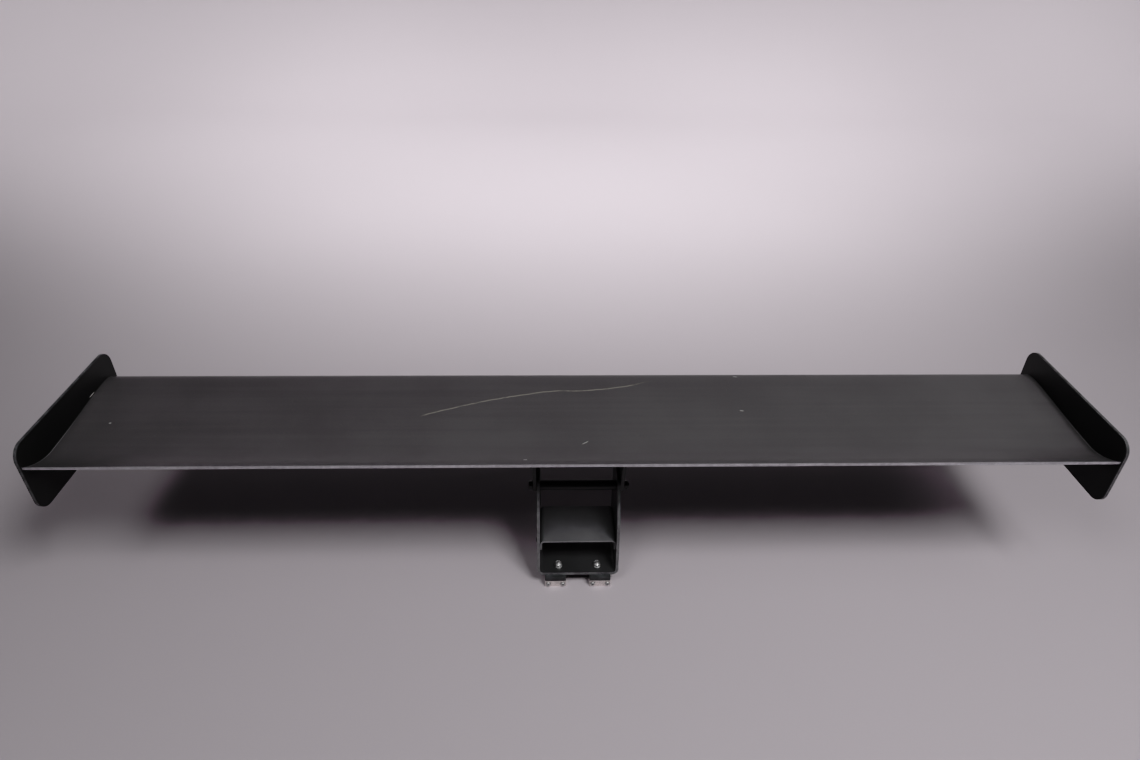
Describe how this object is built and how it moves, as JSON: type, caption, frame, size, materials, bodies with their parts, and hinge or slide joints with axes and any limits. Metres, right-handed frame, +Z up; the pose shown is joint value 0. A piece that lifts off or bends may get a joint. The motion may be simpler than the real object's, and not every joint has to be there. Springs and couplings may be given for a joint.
{
  "type": "racing rear wing",
  "caption": "Single-element racing rear wing with flat end plates, carried on a central U-section bracket with clamping feet; its incidence is adjustable about a cross bolt.",
  "frame": {"origin": "on the ground plane under the feet, below the middle of the end plates", "axes": "+X across the span to the right, +Y forwards to the leading edge, +Z up"},
  "size_m": [1.5146, 0.259, 0.297],
  "materials": {
    "wing_skin": "satin black laminate, faint spanwise streaks and scratches",
    "edge_strip": "bare, worn",
    "inner_alloy": "mill",
    "ply": "sealed plywood",
    "brass": "machined",
    "end_plate": "satin black with worn edges",
    "lug": "satin black",
    "bracket": "satin black powder coat",
    "black_fastener": "black oxide",
    "foot_spacer": "satin black",
    "foot_block": "bare machined",
    "bright_fastener": "bright zinc"
  },
  "bodies": {
    "mount": {"bracket": "bracket", "shelf": "bracket", "shelf_rivets": "black_fastener", "pivot_tube": "black_fastener", "pivot_bolt": "black_fastener", "pivot_washers": "black_fastener", "pivot_nut": "black_fastener", "lock_tube": "black_fastener", "lock_bolt": "black_fastener", "lock_washers": "black_fastener", "lock_nut": "black_fastener", "foot_spacer_rear_left": "foot_spacer", "foot_spacer_rear_right": "foot_spacer", "foot_spacer_front_left": "foot_spacer", "foot_spacer_front_right": "foot_spacer", "foot_block_rear_left": "foot_block", "foot_block_rear_right": "foot_block", "foot_block_front_left": "foot_block", "foot_block_front_right": "foot_block", "foot_bolts": "bright_fastener", "foot_washers": "bright_fastener", "foot_nuts": "bright_fastener", "clamp_screws": "bright_fastener"},
    "wing": {"upper_skin": "wing_skin", "lower_skin": "wing_skin", "trailing_edge_strip": "edge_strip", "main_spar": "inner_alloy", "end_rib_left": "inner_alloy", "end_rib_right": "inner_alloy", "middle_rib_left": "ply", "middle_rib_right": "ply", "mount_rib_left": "ply", "mount_rib_right": "ply", "mount_inserts": "brass", "end_plate_left": "end_plate", "end_plate_right": "end_plate", "end_plate_screws": "black_fastener", "lug_left": "lug", "lug_right": "lug", "lug_screws": "black_fastener", "pivot_bush_left": "brass", "pivot_bush_right": "brass"}
  },
  "joints": [
    {"name": "incidence", "type": "hinge", "parent": "mount", "child": "wing", "pos_m": [0, -0.0435, 0.157], "axis": [1, 0, 0], "range_deg": [-8, 8]}
  ]
}
